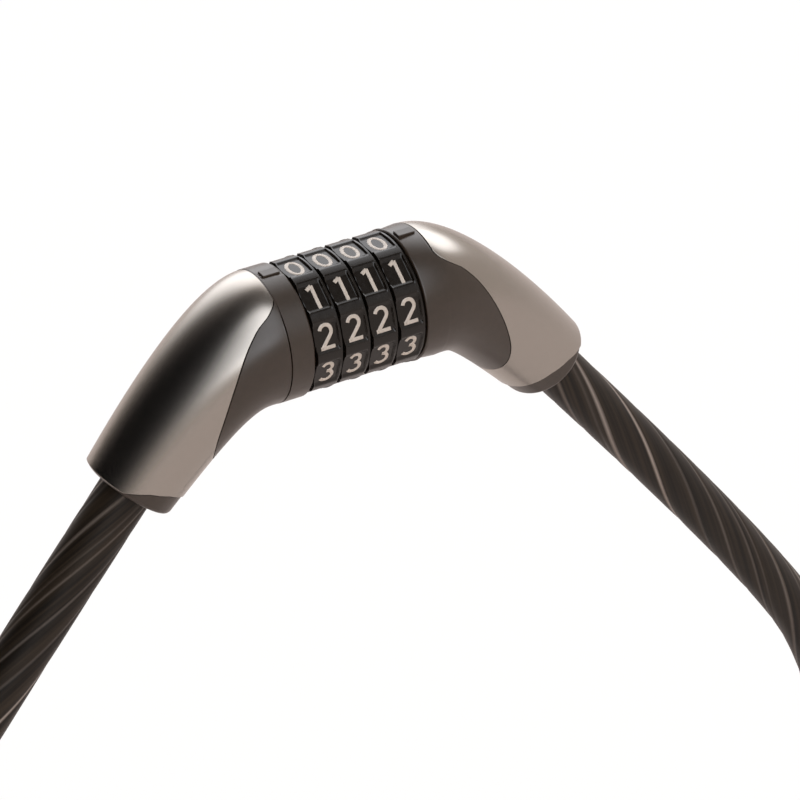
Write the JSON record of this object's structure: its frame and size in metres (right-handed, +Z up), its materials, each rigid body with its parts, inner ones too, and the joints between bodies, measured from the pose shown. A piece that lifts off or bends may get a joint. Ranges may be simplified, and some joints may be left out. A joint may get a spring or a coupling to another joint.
{
  "type": "combination cable lock",
  "caption": "Arched combination cable lock: number dials on a barrel between two elbow housings, one pulling out as the plug, joined by a thick hanging cable loop.",
  "frame": {"origin": "under the middle of the barrel, where a hook or rail carries the hanging lock", "axes": "+X along the barrel from the plug's elbow to the lock's elbow, +Z up, -Y towards the user who reads the dials"},
  "size_m": [0.2985, 0.03, 0.3131],
  "materials": {
    "dark_body": "satin moulded plastic, warm dark grey",
    "silver_cover": "satin silver lacquer on a thin shell",
    "index_bar": "satin plastic inlay",
    "dial_plastic": "black satin plastic, pale numbers",
    "brass": "turned brass",
    "steel": "turned and zinc plated",
    "aluminium": "pressed sleeve",
    "wire_rope": "bright stranded wire",
    "spacer": "black plastic washer",
    "cable_jacket": "smoky clear jacket over flat twisted strands"
  },
  "bodies": {
    "lock": {"lock_housing": "dark_body", "lock_cover": "silver_cover", "lock_tube": "steel", "tube_pin": "steel", "end_collar": "dark_body", "collar_pin": "steel", "index_mark_right": "index_bar", "index_mark_left": "index_bar", "dial_spacers": "spacer", "stack_spring": "steel", "ferrule_right": "aluminium", "ferrule_pin_right": "steel", "cable_core_right": "wire_rope", "cable_right": "cable_jacket"},
    "plug": {"plug_housing": "dark_body", "plug_cover": "silver_cover", "bolt": "steel", "bolt_pin": "steel", "ferrule_left": "aluminium", "ferrule_pin_left": "steel", "cable_core_left": "wire_rope", "cable_left": "cable_jacket"},
    "dial_1": {"dial_1": "dial_plastic", "code_ring_1": "brass"},
    "dial_2": {"dial_2": "dial_plastic", "code_ring_2": "brass"},
    "dial_3": {"dial_3": "dial_plastic", "code_ring_3": "brass"},
    "dial_4": {"dial_4": "dial_plastic", "code_ring_4": "brass"}
  },
  "joints": [
    {"name": "plug_slide", "type": "slide", "parent": "lock", "child": "plug", "axis": [-1, 0, 0], "range_m": [0, 0.05]},
    {"name": "dial_1_turn", "type": "hinge", "parent": "lock", "child": "dial_1", "pos_m": [-0.0102, 0, 0.015], "axis": [1, 0, 0], "continuous": true},
    {"name": "dial_2_turn", "type": "hinge", "parent": "lock", "child": "dial_2", "pos_m": [-0.0034, 0, 0.015], "axis": [1, 0, 0], "continuous": true},
    {"name": "dial_3_turn", "type": "hinge", "parent": "lock", "child": "dial_3", "pos_m": [0.0034, 0, 0.015], "axis": [1, 0, 0], "continuous": true},
    {"name": "dial_4_turn", "type": "hinge", "parent": "lock", "child": "dial_4", "pos_m": [0.0102, 0, 0.015], "axis": [1, 0, 0], "continuous": true}
  ]
}
